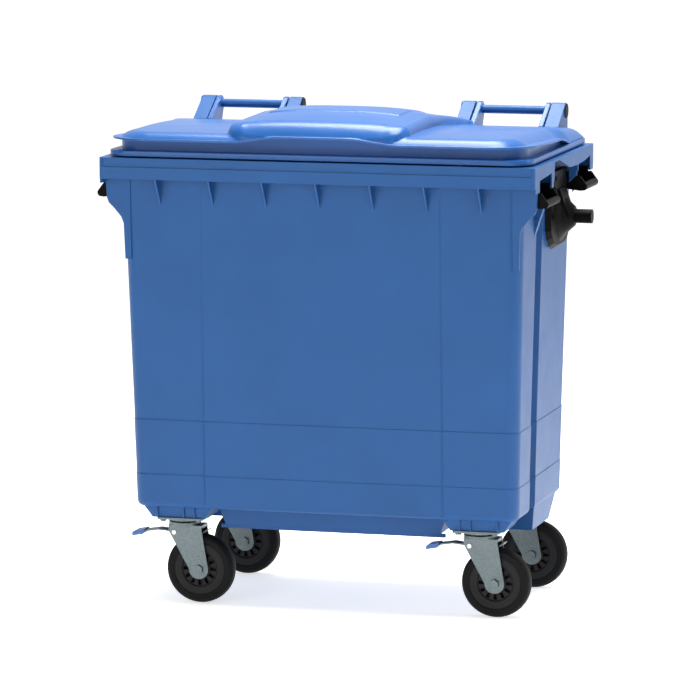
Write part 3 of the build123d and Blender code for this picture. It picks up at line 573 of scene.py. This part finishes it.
def lid_shell():
    """Closed shell of the lid without its arms and slots."""
    mesh = bmesh.new()
    outside = add_grid(mesh, top_points())
    rings = [dome_ring(step) for step in DOME_STEPS]
    rings += [ring_points(outline, LID_REAR, level, 1.0) for outline, level in brim_rings()]
    rings += [ring_points(outline, LID_REAR, level) for outline, level in wall_rings()]
    loops = [border(outside)]
    for ring in rings:
        loops.append([mesh.verts.new(Vector(p) * 0.001) for p in ring])
    inner = grown(WALL, -4.0)
    foot = ring_points(inner, LID_REAR - 5, flat(BEAD_LOW))
    inside_foot = [mesh.verts.new(Vector(p) * 0.001) for p in foot]
    inside = add_grid(mesh, inner_points(inner, LID_REAR - 5))
    for first, second in zip(loops[:-1], loops[1:]):
        add_band(mesh, first, second)
    add_band(mesh, loops[-1], inside_foot)
    add_band(mesh, inside_foot, border(inside))
    right = [loop[-1] for loop in loops[1:]]
    left = [loop[0] for loop in reversed(loops[1:])]
    mesh.faces.new(outside[-1] + right + left)
    mesh.faces.new(inside[-1] + [inside_foot[-1], inside_foot[0]])
    mesh.faces.new((loops[-1][0], loops[-1][-1], inside_foot[-1], inside_foot[0]))
    bmesh.ops.recalc_face_normals(mesh, faces=mesh.faces)
    return mesh


def hinge_rod(name, radius, x0, x1):
    """Cylinder on the hinge axis, from x0 to x1."""
    mesh = bmesh.new()
    rings = []
    for x in (x0, x1):
        ring = []
        for i in range(ROD_SIDES):
            a = 2 * math.pi * i / ROD_SIDES
            place = Vector((x, HINGE_Y + radius * math.cos(a), HINGE_Z + radius * math.sin(a)))
            ring.append(mesh.verts.new(place * 0.001))
        rings.append(ring)
    for i in range(ROD_SIDES):
        j = (i + 1) % ROD_SIDES
        mesh.faces.new((rings[0][i], rings[0][j], rings[1][j], rings[1][i]))
    mesh.faces.new(rings[0])
    mesh.faces.new(rings[1])
    bmesh.ops.recalc_face_normals(mesh, faces=mesh.faces)
    return object_from(name, mesh)


def object_from(name, mesh):
    data = bpy.data.meshes.new(name)
    mesh.to_mesh(data)
    mesh.free()
    item = bpy.data.objects.new(name, data)
    bpy.context.scene.collection.objects.link(item)
    return item


def arm_prism(mesh, x0, x1):
    """Adds one hinge arm with a round head and returns the edges of its flat sides."""
    outline = [(262, 1326), (371, 1329)]
    for i in range(25):
        a = math.radians(-31 + 167 * i / 24)
        outline.append((HINGE_Y + HINGE_R * math.cos(a), HINGE_Z + HINGE_R * math.sin(a)))
    outline.append((262, 1347))
    sides = []
    for x in (x0, x1):
        sides.append([mesh.verts.new(Vector((x, y, z)) * 0.001) for y, z in outline])
    count = len(outline)
    faces = [mesh.faces.new(sides[0]), mesh.faces.new(sides[1])]
    for i in range(count):
        j = (i + 1) % count
        mesh.faces.new((sides[0][i], sides[0][j], sides[1][j], sides[1][i]))
    return [edge for face in faces for edge in face.edges]


def lid_arms():
    """Plates that hang the lid on the two hinge bars."""
    mesh = bmesh.new()
    edges = []
    for x0, x1 in ARMS:
        edges += arm_prism(mesh, x0, x1)
        edges += arm_prism(mesh, -x1, -x0)
    bmesh.ops.recalc_face_normals(mesh, faces=mesh.faces)
    bmesh.ops.bevel(mesh, geom=edges, offset=0.0014, segments=2, affect="EDGES")
    return object_from("lid_arms", mesh)


def cut(item, cutters):
    """Takes the cutters out of the item and removes them."""
    for cutter in cutters:
        step = item.modifiers.new("cut", "BOOLEAN")
        step.operation = "DIFFERENCE"
        step.solver = "EXACT"
        step.object = cutter
    graph = bpy.context.evaluated_depsgraph_get()
    result = bpy.data.meshes.new_from_object(item.evaluated_get(graph))
    item.modifiers.clear()
    item.data = result
    for cutter in cutters:
        bpy.data.objects.remove(cutter)


def make_lid(material):
    shell = object_from("lid_shell", lid_shell())
    slots = []
    for x0, x1 in LID_SLOTS:
        slots.append(hinge_rod("slot", SLOT_R, x0, x1))
        slots.append(hinge_rod("slot", SLOT_R, -x1, -x0))
    cut(shell, slots)
    arms = lid_arms()
    cut(arms, [hinge_rod("bore", BAR_R, -520, 520)])
    for item in (shell, arms):
        item.data.shade_smooth()
        item.data.set_sharp_from_angle(angle=math.radians(32))
        item.data.materials.clear()
        item.data.materials.append(material)
        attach(item, "lid")
    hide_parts("lid")


make_camera()
make_studio()
MATERIALS = make_materials()
dress_nodes(MATERIALS)
make_lid(MATERIALS["blue_lid"])
